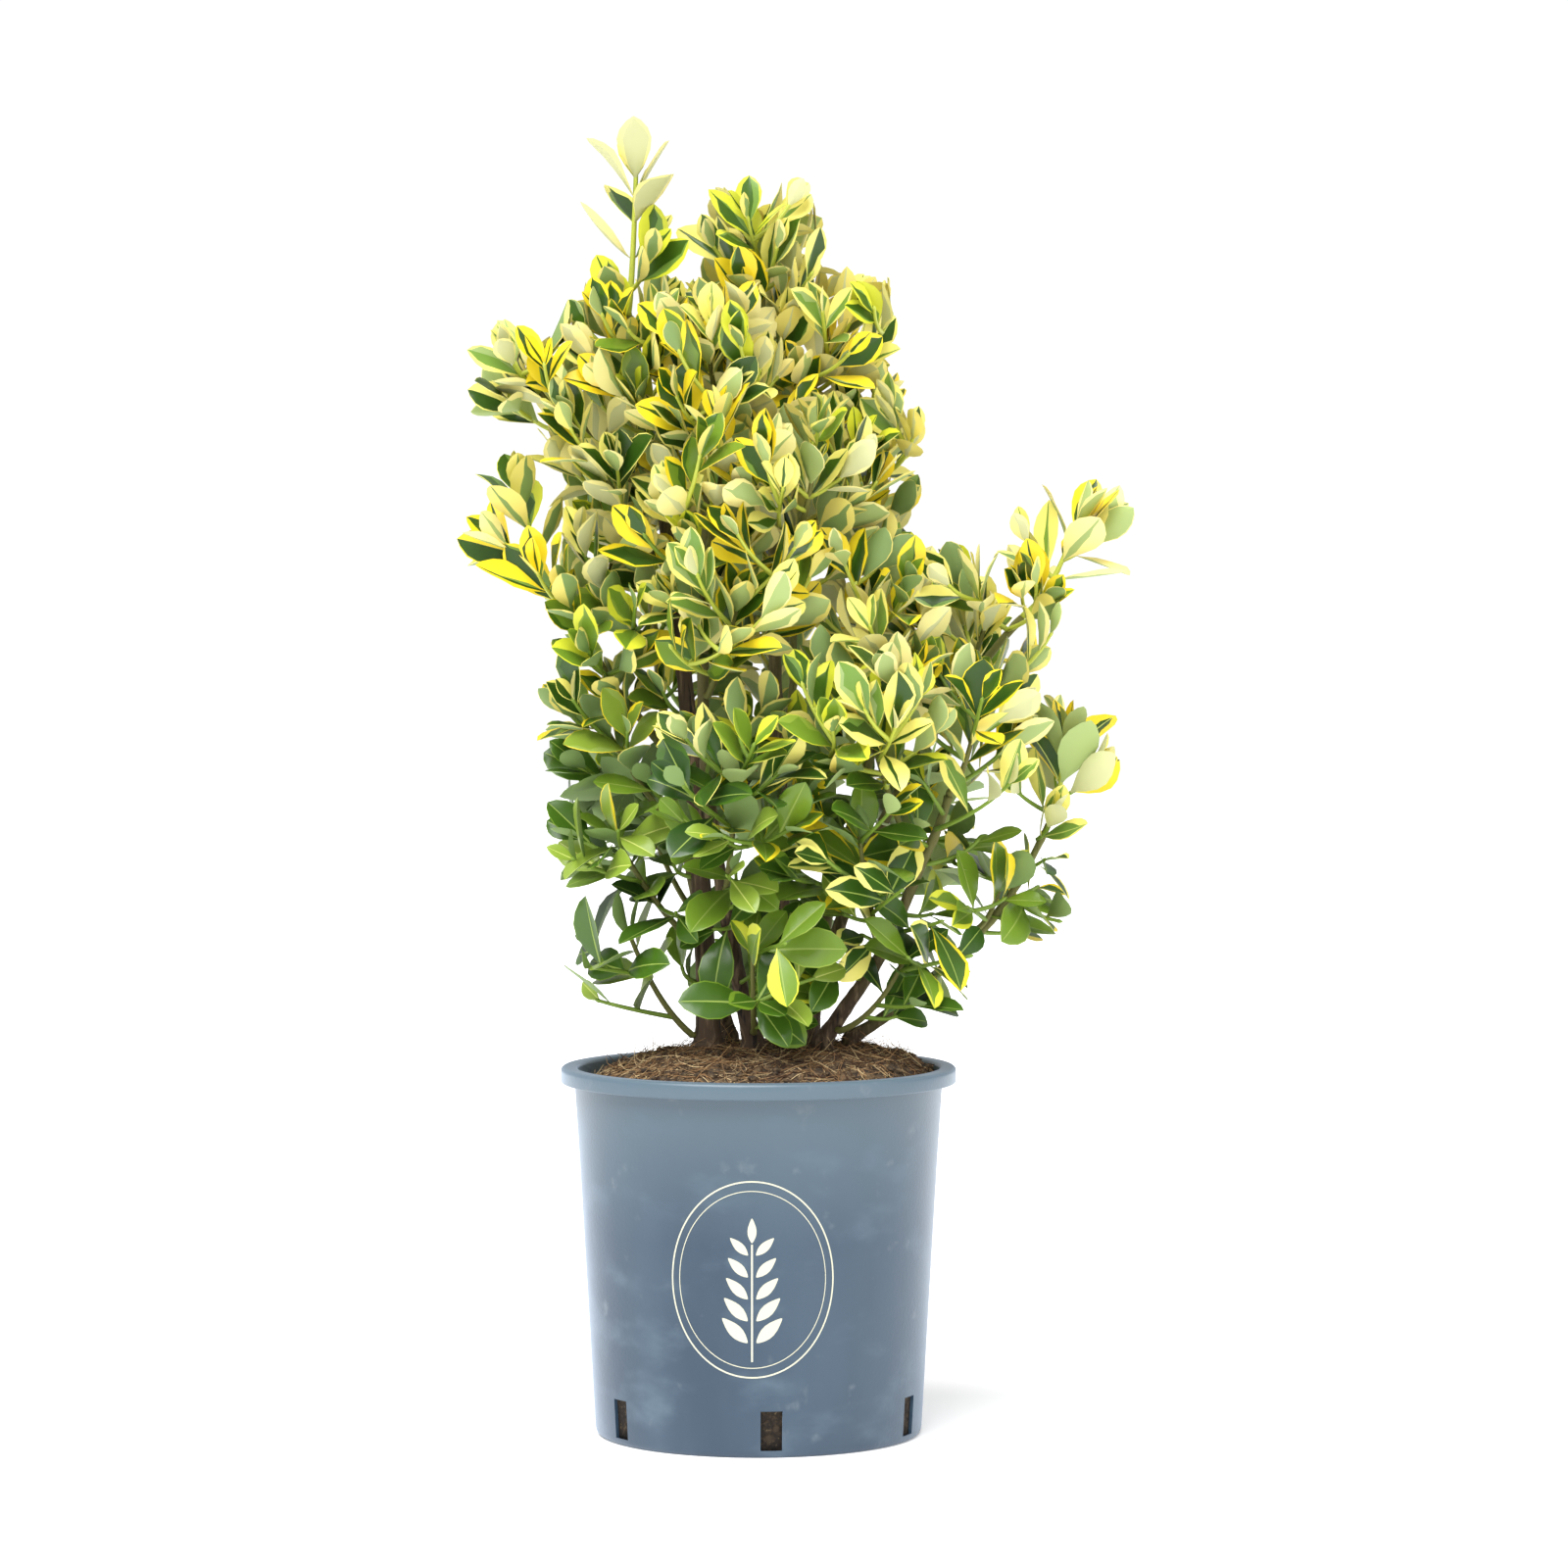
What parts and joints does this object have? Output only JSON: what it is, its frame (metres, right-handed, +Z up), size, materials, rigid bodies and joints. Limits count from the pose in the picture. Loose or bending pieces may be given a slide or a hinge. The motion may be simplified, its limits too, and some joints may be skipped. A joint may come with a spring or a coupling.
{
  "type": "potted golden-edged evergreen spindle shrub",
  "caption": "Evergreen spindle shrub with several stems and gold-edged leaves, growing in a round blue-grey nursery pot filled with potting mix.",
  "frame": {"origin": "centre of the pot's flat underside, on the surface that it stands on", "axes": "+Z up; -Y towards the viewer of the plant's front, where a drain slot shows; +X to the viewer's right, towards the low side lobe of the crown"},
  "size_m": [0.4895, 0.2996, 0.9464],
  "materials": {
    "pot": "satin blue-grey moulded plastic with faint scuffs",
    "potting_mix": "loose brown fibre and bark mix",
    "bark": "rough grey-brown bark",
    "leaves_gold": "leathery leaves, dark green with broad gold edges, sage green below",
    "leaves_mixed": "leathery leaves, green with narrow gold edges",
    "leaves_green": "glossy mid-green leaves with few gold edges"
  },
  "bodies": {
    "root": {"pot": "pot", "potting_mix": "potting_mix", "main_stem": "bark", "centre_stem": "bark", "back_stem": "bark", "right_stem": "bark", "outer_right_stem": "bark", "lobe_stem": "bark", "left_back_stem": "bark", "right_back_stem": "bark", "wing_bough": "bark", "outrigger_bough": "bark", "shoulder_bough": "bark", "heart_bough": "bark", "crown_spire": "leaves_gold", "crown_peak": "leaves_gold", "cap_left": "leaves_gold", "cap_front": "leaves_gold", "cap_right": "leaves_gold", "cap_back": "leaves_gold", "wing_left": "leaves_gold", "shoulder_right": "leaves_gold", "heart_left": "leaves_gold", "heart_front": "leaves_gold", "heart_right": "leaves_gold", "heart_back": "leaves_gold", "heart_back_left": "leaves_gold", "outrigger_left": "leaves_gold", "waist_left": "leaves_mixed", "waist_front": "leaves_gold", "waist_back": "leaves_mixed", "lobe_spire": "leaves_gold", "lobe_top_inner": "leaves_gold", "lobe_top_outer": "leaves_gold", "lobe_back": "leaves_mixed", "lobe_front": "leaves_gold", "lobe_outer": "leaves_mixed", "lobe_tip": "leaves_mixed", "lobe_low": "leaves_green", "lobe_low_back": "leaves_green", "low_left_upper": "leaves_mixed", "low_left_mid": "leaves_green", "low_left_foot": "leaves_green", "low_left_back": "leaves_green", "belly_front": "leaves_mixed", "belly_right": "leaves_green", "belly_back": "leaves_green", "foot_front": "leaves_green", "foot_right": "leaves_green", "foot_back": "leaves_green"}
  },
  "joints": []
}
